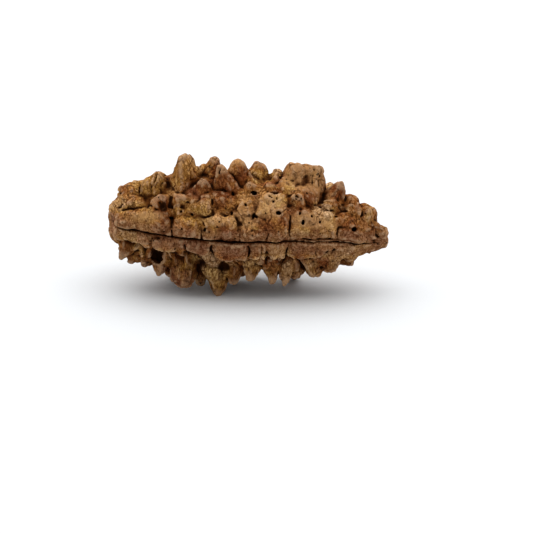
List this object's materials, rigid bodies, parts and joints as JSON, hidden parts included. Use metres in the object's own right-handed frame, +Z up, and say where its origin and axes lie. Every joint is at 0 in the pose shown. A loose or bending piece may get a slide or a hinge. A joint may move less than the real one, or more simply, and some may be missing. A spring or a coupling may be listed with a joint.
{
  "type": "rudraksha bead",
  "caption": "Long knobbly rudraksha fruit stone, undrilled, blunt at the stem end and beaked at the other, with a fine seam along its side, lying on its longest knobs.",
  "frame": {"origin": "centre of the bead's footprint, at the level of the surface it rests on", "axes": "+X along the bead from its blunt stem end to its beak, +Z up, and the side with the long seam faces -Y"},
  "size_m": [0.0358, 0.0157, 0.0177],
  "materials": {
    "stone": "dry and matt, as the bare woody stone of a fruit"
  },
  "bodies": {
    "root": {"rudraksha_bead": "stone"}
  },
  "joints": []
}
